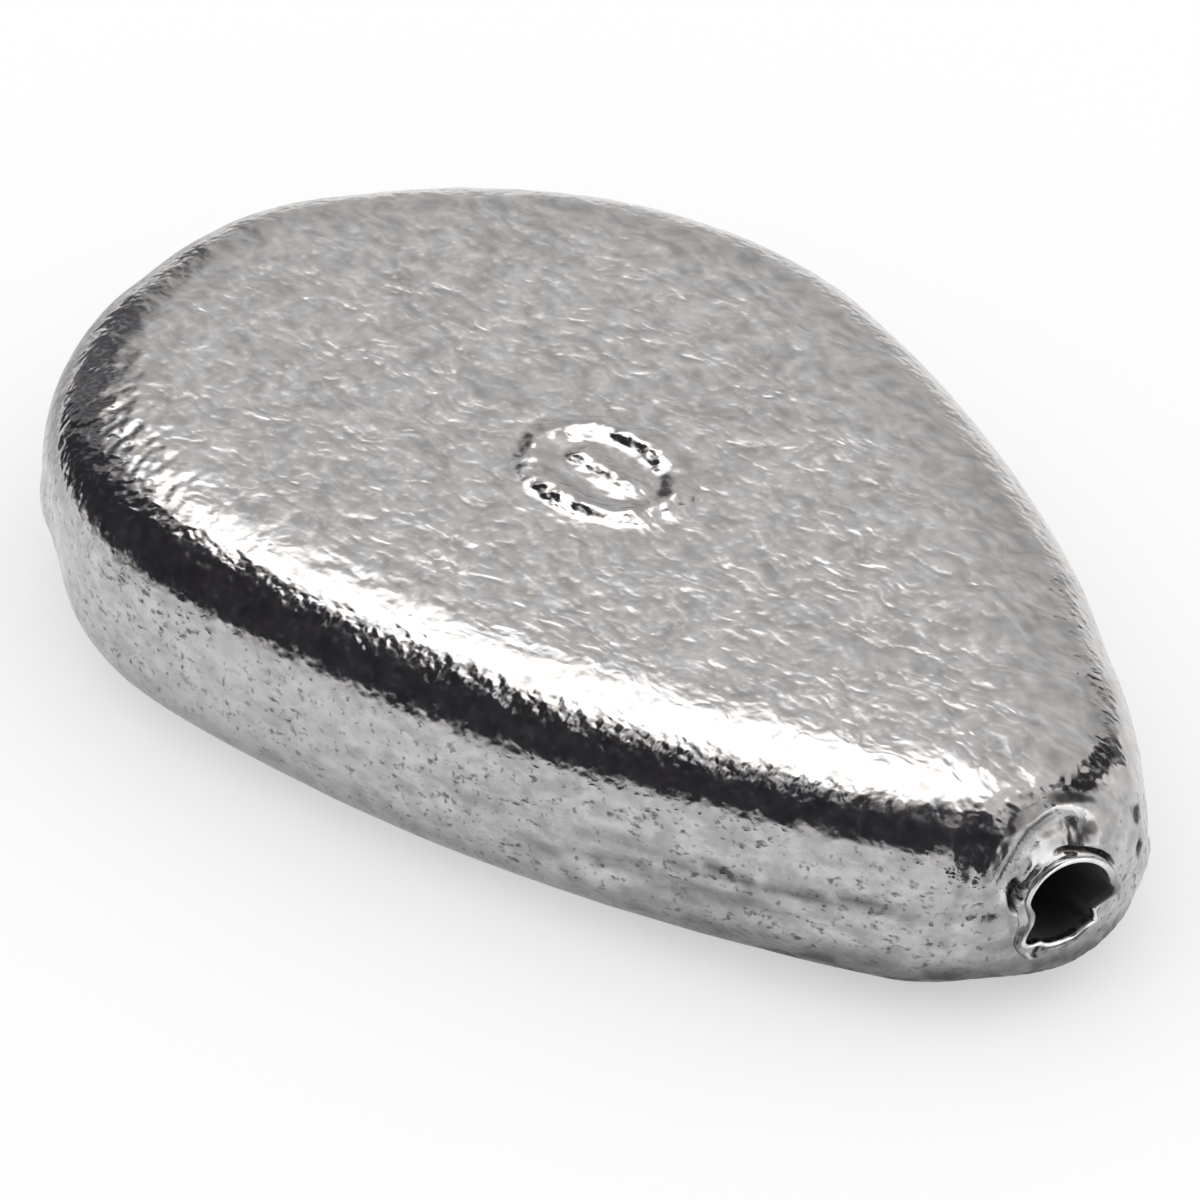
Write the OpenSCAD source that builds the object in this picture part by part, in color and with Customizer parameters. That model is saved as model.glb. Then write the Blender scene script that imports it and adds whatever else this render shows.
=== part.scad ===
// Flat teardrop fishing sinker with a line bore along its length.
// A lead casting with rounded edges holds a thin tube, and the line runs through the tube.
// Millimetres. X runs along the bore towards the tip, Y across the body and Z up.
// The origin lies under the middle of the body, on the surface that the sinker rests on.

/* [Body] */
// Length along the bore, from the rear flat to the tip
body_l = 48.5; // [40:0.5:60]
// Greatest width
body_w = 30.9; // [24:0.1:36]
// Thickness between the two flat faces
body_t = 7.75; // [5.5:0.05:10]
// Distance from the rear flat to the widest place
belly_x = 16.6; // [13:0.1:19]
// Radius of the long arc between the belly and the tip, seen from above
side_r = 63; // [50:0.5:90]
// Radius of the tip, seen from above
tip_r = 6.3; // [5:0.1:8]
// Width of the small flat at the rear, where the bore comes out
rear_flat_w = 2.9; // [1:0.1:5]
// How far the rounded edge reaches in from the outline
edge_w = 5.65; // [3:0.05:6.5]
// Squareness of the rounded edge, where 2 is an ellipse
edge_power = 3.1; // [2:0.1:4]

/* [Line tube] */
// Inside diameter of the tube that the line runs through
tube_bore_d = 3.1; // [2:0.1:3.6]
// Wall of the tube
tube_wall = 0.2; // [0.1:0.05:0.4]

/* [Tip face] */
// Width of the shallow moat in the casting round the end of the tube
moat_w = 1.25; // [0.6:0.05:1.6]
// Depth of the moat at its deepest
moat_depth = 0.45; // [0.2:0.05:0.6]
// Lean of the moat, in degrees, which lets it fade out on the far side of the tube
moat_lean = 14; // [8:1:20]
// Where the moat is deepest, in degrees from straight up towards the side with Y below zero
moat_side = 35; // [0:5:90]
// Lip of lead left between the moat and the tube
moat_lip = 0.15; // [0.05:0.05:0.3]

/* [Casting marks] */
// How far the trimmed parting line stands out of the side
flash_h = 0.08; // [0.02:0.01:0.3]
// Thickness of the parting line
flash_t = 0.3; // [0.1:0.05:0.8]
// Diameter of the cut-off gate on the side
gate_d = 2.3; // [1:0.1:4]
// How far the cut-off gate stands out of the side
gate_h = 0.2; // [0.1:0.05:0.8]
// Direction that the gate faces, in degrees from the tip, on the side with Y below zero
gate_angle = 120; // [100:1:150]

/* [Raised mark] */
// Distance from the rear flat to the middle of the oval ring on the top face
mark_x = 22.9; // [18:0.1:27]
// Length of the ring, along the body
mark_l = 7; // [5:0.1:9]
// Width of the ring, across the body
mark_w = 5.1; // [3.5:0.1:7]
// Width of the ring's raised bead
mark_bead_w = 0.9; // [0.5:0.05:1.2]
// Length of the bar inside the ring
mark_bar_l = 3; // [1.5:0.1:4]
// Width of the bar
mark_bar_w = 0.9; // [0.5:0.05:1.2]
// Height of the ring and the bar above the top face
mark_h = 0.25; // [0.1:0.05:0.5]

/* [Hidden] */

half_l = body_l / 2;
half_w = body_w / 2;
half_t = body_t / 2;
tube_d = tube_bore_d + 2 * tube_wall;

// Each cut and each sunk end runs this far past the face that it crosses
overrun = 1;

// Facets of the bore, the tube and the gate, and of the ring of the raised mark
round_facets = 72;
mark_facets = 60;

// Steps along each arc of half the outline, and steps from the bottom face round the edge to the top face
belly_steps = 22;
side_steps = 8;
tip_steps = 10;
edge_steps = 16;

// Half the outline is three arcs in a row, each tangent to the next: belly, side and tip.
// The belly arc runs through the end of the rear flat and touches the greatest width at belly_x.
flat_to_side = half_w - rear_flat_w / 2;
belly_r = (belly_x * belly_x + flat_to_side * flat_to_side) / (2 * flat_to_side);
belly_centre = [belly_x, half_w - belly_r];
tip_centre = [body_l - tip_r, 0];

// The side arc's centre lies where it touches the belly arc and the tip arc from outside
between = tip_centre - belly_centre;
between_l = norm(between);
belly_to_side = side_r - belly_r;
tip_to_side = side_r - tip_r;
foot_l = (belly_to_side * belly_to_side - tip_to_side * tip_to_side + between_l * between_l) / (2 * between_l);
drop_l = sqrt(belly_to_side * belly_to_side - foot_l * foot_l);
along = between / between_l;
side_centre = belly_centre + foot_l * along + drop_l * [along.y, -along.x];

belly_end = direction(belly_centre - side_centre);
side_end = direction(tip_centre - side_centre);

// The rounded edge stops short of the tip arc's centre, so that the flat faces keep a small round tip
tip_land_share = 0.95;
edge_in = min(edge_w, tip_land_share * tip_r);

moat_mid_r = tube_d / 2 + moat_lip + moat_w / 2;
moat_section_r = (moat_w * moat_w / 4 + moat_depth * moat_depth) / (2 * moat_depth);
moat_setback = tip_r - sqrt(tip_r * tip_r - moat_mid_r * moat_mid_r);

// Direction of a vector, in degrees
function direction(v) = atan2(v.y, v.x);

// Points of an arc, without its first point
function arc(centre, r, from, to, steps) =
    [for (i = [1 : steps]) let (a = from + (to - from) * i / steps) centre + r * [cos(a), sin(a)]];

// Half the outline, drawn in by inset: from the rear point on the axis, round the belly, to the tip point
function half_outline(inset) =
    let (
        r = belly_r - inset,
        rear_x = belly_x - sqrt(r * r - belly_centre.y * belly_centre.y),
        rear_angle = direction([rear_x, 0] - belly_centre)
    )
    concat(
        [[rear_x, 0]],
        arc(belly_centre, r, (rear_angle + 360) % 360, belly_end, belly_steps),
        arc(side_centre, side_r - inset, belly_end, side_end, side_steps),
        arc(tip_centre, tip_r - inset, side_end, 0, tip_steps)
    );

// The whole outline: one half, then its mirror image back from the tip to the rear
function outline(inset) =
    let (half = half_outline(inset), last = len(half) - 1)
    concat(half, [for (i = [last - 1 : -1 : 1]) [half[i].x, -half[i].y]]);

// The rounded edge as [inset, height] pairs, from the bottom face round to the top face
function edge_curve() =
    [for (i = [0 : edge_steps])
        let (
            a = 180 * i / edge_steps - 90,
            out_share = pow(abs(cos(a)), 2 / edge_power),
            up_share = sign(a) * pow(abs(sin(a)), 2 / edge_power)
        )
        [edge_in * (1 - out_share), half_t * (1 + up_share)]];

// The plain casting: one ring of points for each step of the rounded edge, closed by the two flat faces
module blank() {
    levels = edge_curve();
    rings = [for (level = levels) [for (p = outline(level[0])) [p.x, p.y, level[1]]]];
    count = len(rings[0]);
    top = len(rings) - 1;
    points = [for (ring = rings) each ring];
    sides = [for (j = [0 : top - 1], i = [0 : count - 1])
        let (k = (i + 1) % count, low = j * count, high = low + count)
        each [[low + i, high + i, high + k], [low + i, high + k, low + k]]];
    bottom_face = [for (i = [count - 1 : -1 : 0]) i];
    top_face = [for (i = [0 : count - 1]) top * count + i];
    polyhedron(points, concat([bottom_face], [top_face], sides));
}

// The trimmed parting line runs all round the side at half the thickness
module parting_line() {
    translate([0, 0, half_t - flash_t / 2]) linear_extrude(flash_t) polygon(outline(-flash_h));
}

// The gate where the metal ran in, cut off just proud of the side
module gate() {
    centre = [belly_centre.x, -belly_centre.y, half_t];
    translate(centre) rotate([0, 90, -gate_angle])
        translate([0, 0, belly_r - overrun]) cylinder(h = overrun + gate_h, d = gate_d, $fn = round_facets);
}

function oval(length, width) =
    [for (i = [0 : mark_facets - 1])
        let (a = 360 * i / mark_facets)
        [length / 2 * cos(a), width / 2 * sin(a)]];

// A plain oval ring round a short bar, raised on the top face
module raised_mark() {
    translate([mark_x, 0, body_t - overrun]) linear_extrude(overrun + mark_h) {
        difference() {
            polygon(oval(mark_l, mark_w));
            polygon(oval(mark_l - 2 * mark_bead_w, mark_w - 2 * mark_bead_w));
        }
        polygon(oval(mark_bar_l, mark_bar_w));
    }
}

module along_bore(from, to, d) {
    translate([from, 0, half_t]) rotate([0, 90, 0]) cylinder(h = to - from, d = d, $fn = round_facets);
}

// The shallow moat round the end of the tube, deepest on one side and leaning out of the casting on the other
module tip_moat() {
    deepest_x = body_l - moat_setback - moat_depth + moat_section_r;
    translate([deepest_x + moat_mid_r * sin(moat_lean), 0, half_t]) rotate([moat_side, 0, 0])
        rotate([0, 90 - moat_lean, 0]) rotate_extrude($fn = round_facets)
            translate([moat_mid_r, 0]) circle(r = moat_section_r, $fn = round_facets);
}

// Everything behind the rear flat
module behind_rear_flat() {
    translate([-body_l, -body_w, -body_t]) cube([body_l, 2 * body_w, 3 * body_t]);
}

module lead_body() {
    color("darkgray") translate([-half_l, 0, 0]) difference() {
        union() {
            blank();
            parting_line();
            gate();
            raised_mark();
        }
        along_bore(-overrun, body_l + overrun, tube_d);
        tip_moat();
        behind_rear_flat();
    }
}

module line_tube() {
    color("gainsboro") translate([-half_l, 0, 0]) difference() {
        along_bore(0, body_l, tube_d);
        along_bore(-overrun, body_l + overrun, tube_bore_d);
    }
}

lead_body();
line_tube();
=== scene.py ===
"""A flat teardrop fishing sinker: a lead casting round a thin tube, on a pale studio floor.

Shapes are worked out in millimetres, and piece() turns them into metres. The camera and the studio are in metres.
x, y and z are those of the frame: x runs along the bore to the tip, y across the body and z up.
"""
import math

import bmesh
import bpy
import numpy as np
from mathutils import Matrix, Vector, noise


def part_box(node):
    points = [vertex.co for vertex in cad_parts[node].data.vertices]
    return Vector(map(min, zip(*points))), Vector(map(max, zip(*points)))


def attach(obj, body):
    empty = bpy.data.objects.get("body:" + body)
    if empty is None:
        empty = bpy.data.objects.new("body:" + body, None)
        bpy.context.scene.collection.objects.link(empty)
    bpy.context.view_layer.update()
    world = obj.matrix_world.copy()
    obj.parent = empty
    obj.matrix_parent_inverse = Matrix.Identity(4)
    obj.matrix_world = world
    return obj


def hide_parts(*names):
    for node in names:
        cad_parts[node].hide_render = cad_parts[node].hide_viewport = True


METRES = 0.001
MM_PER_METRE = 1000.0

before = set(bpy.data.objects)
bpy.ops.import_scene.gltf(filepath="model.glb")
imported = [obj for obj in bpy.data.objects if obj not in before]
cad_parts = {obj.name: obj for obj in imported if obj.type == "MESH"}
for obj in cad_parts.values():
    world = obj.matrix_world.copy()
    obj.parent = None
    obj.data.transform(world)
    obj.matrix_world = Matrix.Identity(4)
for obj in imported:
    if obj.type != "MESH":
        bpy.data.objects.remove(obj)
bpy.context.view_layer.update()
body_low, body_high = (corner * MM_PER_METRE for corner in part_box("lead_body"))
tube_low, tube_high = (corner * MM_PER_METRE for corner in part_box("line_tube"))

# How far the parting line stands out of the side
FLASH_H = 0.08

# Sizes that follow the frame
HALF_L = tube_high.x
HALF_W = body_high.y - FLASH_H
HALF_T = (tube_low.z + tube_high.z) / 2
TUBE_R = (tube_high.z - tube_low.z) / 2

# Outline of the casting seen from above: a belly arc, a side arc and a tip arc, tangent to each other
BELLY_X = 16.6 - HALF_L
SIDE_R = 63.0
TIP_R = 6.3
REAR_FLAT_W = 2.9
# How far the rounded edge reaches in from the outline, and its squareness, where 2 is an ellipse
EDGE_W = 5.65
EDGE_POWER = 3.1

flat_to_side = HALF_W - REAR_FLAT_W / 2
from_rear = BELLY_X + HALF_L
belly_r = (from_rear**2 + flat_to_side**2) / (2 * flat_to_side)
belly_c = np.array([BELLY_X, HALF_W - belly_r])
tip_c = np.array([HALF_L - TIP_R, 0.0])
between = tip_c - belly_c
between_l = np.linalg.norm(between)
along = between / between_l
foot = ((SIDE_R - belly_r) ** 2 - (SIDE_R - TIP_R) ** 2 + between_l**2) / (2 * between_l)
drop = math.sqrt((SIDE_R - belly_r) ** 2 - foot**2)
side_c = belly_c + foot * along + drop * np.array([along[1], -along[0]])
belly_end = math.atan2(*(belly_c - side_c)[::-1])
side_end = math.atan2(*(tip_c - side_c)[::-1])

# Steps of the rough blank, how far its rings draw in, and the mesh's fineness after it
ARC_STEPS = (40, 30, 16)
EDGE_STEPS = 24
TIP_INSET = 0.95 * TIP_R
VOXEL = 0.222

# Keeps lengths that are divided by from being zero
TINY = 1e-6


def smooth(low, high, value):
    """0 below low, 1 above high and an easy rise between them."""
    t = np.clip((value - low) / (high - low), 0, 1)
    return t * t * (3 - 2 * t)


def window(opens, closes, value):
    """Rises from 0 to 1 over the first pair of values, and falls back to 0 over the second pair."""
    return smooth(*opens, value) * (1 - smooth(*closes, value))


def bump(middle, half_width, value):
    """1 at the middle, 0 beyond the half width and round in between."""
    t = np.clip(1 - ((value - middle) / half_width) ** 2, 0, 1)
    return t * t


def smooth_max(a, b, width):
    """The larger of two fields, with a round passage where they meet."""
    share = np.clip(0.5 + 0.5 * (a - b) / width, 0, 1)
    return b * (1 - share) + a * share + width * share * (1 - share)


def turned(a, b):
    """Difference of two angles in degrees, from -180 to 180."""
    return (a - b + 180) % 360 - 180


def wrinkles(points, size, stretch=(1, 1, 1), seed=0.0):
    """Perlin noise of about that feature size, from about -1 to 1."""
    scaled = points / (size * np.array(stretch)) + seed
    return np.array([noise.noise(Vector(p)) for p in scaled])


def around_bore(p):
    """Distance from the bore's axis, and the angle round it in degrees, from -90 to 270 with 0 at +Y."""
    y, z = p[:, 1], p[:, 2] - HALF_T
    return np.hypot(y, z), (np.degrees(np.arctan2(z, y)) + 90) % 360 - 90


def near_tip(p, zone):
    return p[:, 0] > HALF_L - zone


def on_top(p):
    return p[:, 2] > HALF_T


def half_outline(inset):
    """Half the outline, drawn in by inset, from the rear to the tip."""
    r = belly_r - inset
    rear = math.pi - math.asin(-belly_c[1] / r)
    arcs = (
        (belly_c, r, rear, belly_end),
        (side_c, SIDE_R - inset, belly_end, side_end),
        (tip_c, TIP_R - inset, side_end, 0.0),
    )
    points = []
    for (centre, radius, start, end), steps in zip(arcs, ARC_STEPS):
        for i in range(steps):
            a = start + (end - start) * i / steps
            points.append(centre + radius * np.array([math.cos(a), math.sin(a)]))
    points.append(np.array([HALF_L - inset, 0.0]))
    return points


def blank():
    """The rough blank: rings of the outline from the bottom face to the top face."""
    rings = []
    for i in range(EDGE_STEPS + 1):
        a = math.pi * i / EDGE_STEPS - math.pi / 2
        reach = abs(math.cos(a)) ** (2 / EDGE_POWER)
        inset = min(EDGE_W * (1 - reach), TIP_INSET)
        z = HALF_T * (1 + math.copysign(abs(math.sin(a)) ** (2 / EDGE_POWER), a))
        half = half_outline(inset)
        whole = half + [p * (1, -1) for p in half[-2:0:-1]]
        rings.append([(p[0], p[1], z) for p in whole])
    return loft("blank", rings, closed=False)


def mesh_of(bm, name):
    mesh = bpy.data.meshes.new(name)
    bm.to_mesh(mesh)
    bm.free()
    return mesh


def band(bm, low, high):
    """Quads between two rings of corners."""
    for k in range(len(low)):
        m = (k + 1) % len(low)
        bm.faces.new((low[k], low[m], high[m], high[k]))


def loft(name, rings, closed):
    """A mesh of quads through rings of points, with flat caps unless it is closed on itself."""
    bm = bmesh.new()
    made = [[bm.verts.new(p) for p in ring] for ring in rings]
    if not closed:
        bm.faces.new(made[0])
        bm.faces.new(made[-1][::-1])
    for low, high in zip(made, made[1:]):
        band(bm, low, high)
    if closed:
        band(bm, made[-1], made[0])
    bmesh.ops.recalc_face_normals(bm, faces=bm.faces)
    return mesh_of(bm, name)


def linked(name, data):
    """A new object of the scene with that mesh or camera."""
    made = bpy.data.objects.new(name, data)
    bpy.context.collection.objects.link(made)
    return made


def applied(mesh, kind, **settings):
    """A copy of the mesh with one modifier applied."""
    rough = linked("rough", mesh)
    modifier = rough.modifiers.new(kind, kind)
    for name, value in settings.items():
        setattr(modifier, name, value)
    graph = bpy.context.evaluated_depsgraph_get()
    result = bpy.data.meshes.new_from_object(rough.evaluated_get(graph))
    bpy.data.objects.remove(rough)
    return result


def positions(mesh):
    """The mesh's points, one row each."""
    flat = np.empty(len(mesh.vertices) * 3, np.float32)
    mesh.vertices.foreach_get("co", flat)
    return flat.reshape(-1, 3).astype(float)


def set_positions(mesh, points):
    mesh.vertices.foreach_set("co", points.astype(np.float32).ravel())
    mesh.update()


def write_values(mesh, name, values):
    """Writes one number for each point of the mesh, for its material to read."""
    attribute = mesh.attributes.new(name, "FLOAT", "POINT")
    attribute.data.foreach_set("value", values.astype(np.float32))


def refined(mesh, near):
    """Cuts the faces of the mesh into four where near is true."""
    bm = bmesh.new()
    bm.from_mesh(mesh)
    chosen = near(positions(mesh))
    bm.verts.ensure_lookup_table()
    edges = [e for e in bm.edges if chosen[e.verts[0].index] and chosen[e.verts[1].index]]
    bmesh.ops.subdivide_edges(bm, edges=edges, cuts=1, use_grid_fill=True)
    bm.to_mesh(mesh)
    bm.free()


def inset_and_outward(points):
    """How far each point lies in from the outline, and which way is out, seen from above."""
    side = np.where(points[:, 1] < 0, -1.0, 1.0)
    p = np.stack([points[:, 0], np.abs(points[:, 1])], 1)
    turn = np.arctan2(p[:, 1] - side_c[1], p[:, 0] - side_c[0])
    on_belly = turn > belly_end
    on_tip = turn < side_end
    centre = np.where(on_belly[:, None], belly_c, np.where(on_tip[:, None], tip_c, side_c))
    radius = np.where(on_belly, belly_r, np.where(on_tip, TIP_R, SIDE_R))
    away = p - centre
    reach = np.maximum(np.linalg.norm(away, axis=1), TINY)
    outward = away / reach[:, None]
    outward[:, 1] *= side
    return radius - reach, outward


# Heights are followed up to this many half thicknesses from the middle plane
FARTHEST_UP = 1.5


def onto_surface(points):
    """The points moved onto the smooth casting, and the surface's normal there."""
    inset, outward = inset_and_outward(points)
    across = np.maximum(0.0, 1 - inset / EDGE_W)
    up = np.clip((points[:, 2] - HALF_T) / HALF_T, -FARTHEST_UP, FARTHEST_UP)
    grow = (across**EDGE_POWER + np.abs(up) ** EDGE_POWER) ** (-1 / EDGE_POWER)
    new_across, new_up = across * grow, up * grow
    step = (new_across - across) * EDGE_W
    moved = points.copy()
    moved[:, :2] += outward * step[:, None]
    moved[:, 2] = HALF_T * (1 + new_up)
    moved[:, 0] = np.maximum(moved[:, 0], -HALF_L)
    out = new_across ** (EDGE_POWER - 1) / EDGE_W
    rise = np.sign(new_up) * np.abs(new_up) ** (EDGE_POWER - 1) / HALF_T
    normal = np.column_stack([outward * out[:, None], rise])
    normal /= np.linalg.norm(normal, axis=1)[:, None]
    return moved, normal


# Tube: a thin wall, round inside the casting and pinched out of round at the mouth
BORE_R = 1.55
WALL = TUBE_R - BORE_R
# Depths behind the rim at which the pinches begin to show, and show in full
PINCH_START, PINCH_FULL = 3.0, 0.2
# Each pinch is an angle round the bore, how far the wall moves out there and how wide the pinch is
PINCHES = (
    (-2, 0.14, 11),
    (-24, -0.56, 24),
    (-52, -0.34, 40),
    (-86, -0.28, 45),
    (-149, 0.38, 17),
    (-176, -0.28, 25),
    (80, -0.05, 60),
)
# The rim falls back most at the side opposite this angle
RIM_TILT, RIM_TILT_ANGLE = 0.25, -10
# Flare of the rolled lip: angle round the bore, reach and width
FLARE_ANGLE, FLARE_SPREAD, FLARE_W = 12, 34, 0.06
# How much wider than the wall the lip is, and the depths behind the rim over which it thins to the wall
LIP_SPREAD = 0.02
LIP_THINS = (0.9, 0.1)
LIP_TURN = 20
# Rings of the tube: points in each, and their depths behind the rim
RING_POINTS = 288
RING_DEPTHS = (3.6, 3.0, 2.4, 1.9, 1.4, 1.0, 0.7, 0.45, 0.25)
# Chamfer of the rear end: length, and share of the wall
CHAMFER_L, CHAMFER_SHARE = 0.06, 0.3
# Where the painted shade inside the tube is full, from the rear end
REAR_SHADE_RING = 0.9
# How much smaller than the tube its hole in the casting is, so that no gap shows
CUTTER_SLACK = 0.02
# Stations of the cutter, from the tip, and how far the pinches show there
CUTTER_STATIONS = ((-5, 0.0), (-3.4, 0.0), (-2.2, 0.3), (-1.2, 0.8), (-0.6, 1.0), (1, 1.0))


def mouth_radius(angle, share):
    """Inner radius at an angle in degrees, where share is 1 at the mouth and 0 deep inside."""
    r = np.full_like(angle, BORE_R)
    for at, out, width in PINCHES:
        r += share * out * bump(0, width, turned(angle, at))
    return r


def pinch_share(depth):
    """How far the pinches show at a depth behind the rim."""
    return smooth(PINCH_START, PINCH_FULL, depth)


def rim_x(angle):
    """How far the rim reaches along the bore, as it follows the round tip."""
    return HALF_L - RIM_TILT * (1 - np.cos(np.radians(angle - RIM_TILT_ANGLE)))


def ring_angles():
    return np.arange(RING_POINTS) * 360 / RING_POINTS


def ring_at(x, r, angle):
    """A ring of points round the bore's axis."""
    a = np.radians(angle)
    return np.column_stack([np.broadcast_to(x, a.shape), r * np.cos(a), HALF_T + r * np.sin(a)])


def tube_mesh():
    """The tube as one closed skin: its inside from the rear, round the rolled lip, and its outside back again."""
    angle = ring_angles()
    rim = rim_x(angle)
    flare = FLARE_W * bump(0, FLARE_SPREAD, turned(angle, FLARE_ANGLE))
    rings = [
        ring_at(-HALF_L, BORE_R + WALL * CHAMFER_SHARE, angle),
        ring_at(-HALF_L + CHAMFER_L, BORE_R, angle),
        ring_at(-HALF_L + REAR_SHADE_RING, BORE_R, angle),
    ]
    for depth in RING_DEPTHS:
        rings.append(ring_at(rim - depth, mouth_radius(angle, pinch_share(depth)), angle))
    inner = mouth_radius(angle, 1.0)
    lip = (WALL + LIP_SPREAD) / 2
    for turn in range(0, 181, LIP_TURN):
        out, up = 1 - math.cos(math.radians(turn)), math.sin(math.radians(turn))
        flared = smooth(0, 1, out / 2)
        x = rim - lip * (1 - up) - 0.5 * flare * (1 - flared)
        rings.append(ring_at(x, inner + lip * out + flare * flared, angle))
    for depth in RING_DEPTHS[::-1]:
        spread = (flare + LIP_SPREAD) * smooth(*LIP_THINS, depth)
        rings.append(ring_at(rim - depth, mouth_radius(angle, pinch_share(depth)) + WALL + spread, angle))
    rings.append(ring_at(-HALF_L + CHAMFER_L, TUBE_R, angle))
    rings.append(ring_at(-HALF_L, TUBE_R - WALL * CHAMFER_SHARE, angle))
    return loft("tube", rings, closed=True)


def bore_cutter():
    """What the tube takes out of the casting."""
    angle = ring_angles()
    wall = WALL - CUTTER_SLACK
    rings = [ring_at(-HALF_L - 1, BORE_R + wall, angle)]
    for from_tip, share in CUTTER_STATIONS:
        rings.append(ring_at(HALF_L + from_tip, mouth_radius(angle, share) + wall, angle))
    return loft("bore_cutter", rings, closed=False)


# Tip face: a scoop above and beside the mouth, pits, and the lead held back in a step round the rim.
# Scoop: depth, the distances from the bore's axis over which it ends, and the angles over which it opens and
# closes
SCOOP_DEPTH = 0.36
SCOOP_FLOOR = (2.7, 3.3)
SCOOP_OPENS, SCOOP_CLOSES = (60, 92), (140, 170)
# Pits: angle round the bore, distance from its axis, reach of both, and depth. Like the painted shade spots, they
# lie on the tip face alone
PITS = ((155, 2.2, 18, 0.42, 0.5), (25, 3.8, 6, 0.32, 0.16), (7, 3.45, 6, 0.3, 0.16))
FACE_ZONE = 3
# The step: depth behind the rim, distance from the bore's axis, and the angles over which it opens and closes
RIM_STEP, RIM_STEP_R = 0.12, 2.1
STEP_OPENS, STEP_CLOSES = (0, 40), (222, 252)
# The step is wider round the corner of the mouth: angle round the bore, reach and how much wider
STEP_CORNER = (-149, 32, 0.2)
# How softly the step's own edge is rounded, and its meeting with the body
STEP_EDGE, STEP_BLEND = 0.2, 0.12
# The tip's field is followed this near to the tip and to the bore's axis
TIP_ZONE, TIP_ZONE_R = 5.0, 4.4
# Turns the body's field into about millimetres
FIELD_SCALE = 4.8
# Search for the tip's surface: steps, longest step, least squared slope and the reach that slopes use
SEARCH_STEPS, LONGEST_STEP, LEAST_SLOPE, SLOPE_REACH = 6, 0.15, 0.05, 0.01


def scoop_depth(rho, angle):
    """How far the scoop lies under the plain tip."""
    return SCOOP_DEPTH * window(SCOOP_OPENS, SCOOP_CLOSES, angle) * (1 - smooth(*SCOOP_FLOOR, rho))


def casting_field(p):
    """About the distance to the casting's surface near the tip, below zero inside it."""
    inset, _ = inset_and_outward(p)
    across = np.maximum(0.0, 1 - inset / EDGE_W)
    up = np.abs(p[:, 2] - HALF_T) / HALF_T
    body = ((across**EDGE_POWER + up**EDGE_POWER) ** (1 / EDGE_POWER) - 1) * FIELD_SCALE
    rho, angle = around_bore(p)
    body += scoop_depth(rho, angle)
    # Outside the step's angles its floor lies a whole millimetre out of the casting
    floor = rim_x(angle) - RIM_STEP + (1 - window(STEP_OPENS, STEP_CLOSES, angle))
    at, spread, wider = STEP_CORNER
    step_r = RIM_STEP_R + wider * bump(0, spread, turned(angle, at))
    step = smooth_max(floor - p[:, 0], rho - step_r, STEP_EDGE)
    return smooth_max(body, -step, STEP_BLEND)


def gradient(p):
    """Slope of the casting's field."""
    sides = []
    for axis in np.eye(3) * SLOPE_REACH:
        sides.append((casting_field(p + axis) - casting_field(p - axis)) / (2 * SLOPE_REACH))
    return np.stack(sides, 1)


def onto_tip(p):
    """Points near the tip moved onto the casting's surface, and the surface's normal there."""
    for _ in range(SEARCH_STEPS):
        slope = gradient(p)
        step = slope * (casting_field(p) / np.maximum((slope**2).sum(1), LEAST_SLOPE))[:, None]
        length = np.linalg.norm(step, axis=1)[:, None]
        p = p - step * np.minimum(1, LONGEST_STEP / np.maximum(length, TINY))
    slope = gradient(p)
    return p, slope / np.linalg.norm(slope, axis=1)[:, None]


def settled(mesh):
    """Moves the mesh's points onto the smooth casting. Gives the points and the normals there."""
    start = positions(mesh)
    points, normal = onto_surface(start)
    rho, _ = around_bore(start)
    tip = near_tip(start, TIP_ZONE) & (rho < TIP_ZONE_R)
    points[tip], normal[tip] = onto_tip(start[tip])
    set_positions(mesh, points)
    return points, normal


def pits(p):
    """How far each point is pushed in along the body."""
    rho, angle = around_bore(p)
    depth = np.zeros(len(p))
    for at, r, spread, reach, deep in PITS:
        off = np.hypot(turned(angle, at) / spread, (rho - r) / reach)
        depth += deep * bump(0, 1, off) * near_tip(p, FACE_ZONE)
    return depth


# Creases between the rim and the lead: distance from the bore's axis, half width and depth
CREASE_R, CREASE_W, CREASE_DEPTH = 1.93, 0.13, 0.28
# The angles over which each crease opens, and closes again
CREASES = (((15, 35), (85, 105)), ((118, 130), (150, 165)))
CREASE_ZONE = 2


def crease(p):
    """How deep in a crease each point lies, from 0 to 1."""
    rho, angle = around_bore(p)
    share = sum(window(opens, closes, angle) for opens, closes in CREASES)
    return share * near_tip(p, CREASE_ZONE) * bump(CREASE_R, CREASE_W, rho)


# Flow streaks that run round the mouth, in and beside the scoop: height, size and stretch, the distances from
# the bore's axis over which they open and close, and the angles
STREAK_H = 0.09
STREAK_SIZE, STREAK_STRETCH = 0.5, (1, 4, 1)
STREAKS_FROM, STREAKS_TO = (1.9, 2.3), (3.6, 4.6)
STREAKS_OPEN, STREAKS_CLOSE = (50, 80), (180, 205)
STREAK_ZONE = 4


def streaks(p):
    """The streaks round the mouth, from about -1 to 1."""
    rho, angle = around_bore(p)
    unrolled = np.column_stack([rho, np.radians(angle) * rho, 0 * rho])
    share = window(STREAKS_FROM, STREAKS_TO, rho) * window(STREAKS_OPEN, STREAKS_CLOSE, angle)
    share = share * near_tip(p, STREAK_ZONE)
    return share * wrinkles(unrolled, STREAK_SIZE, STREAK_STRETCH, seed=4.4)


# Raised mark: a plain oval ring round a short bar, worn and uneven like the rest of the cast face
MARK_X = 22.9 - HALF_L
MARK_L, MARK_W = 7.0, 5.1
MARK_BEAD_W = 0.9
MARK_BAR_L, MARK_BAR_W = 3.0, 0.9
MARK_H = 0.25
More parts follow.
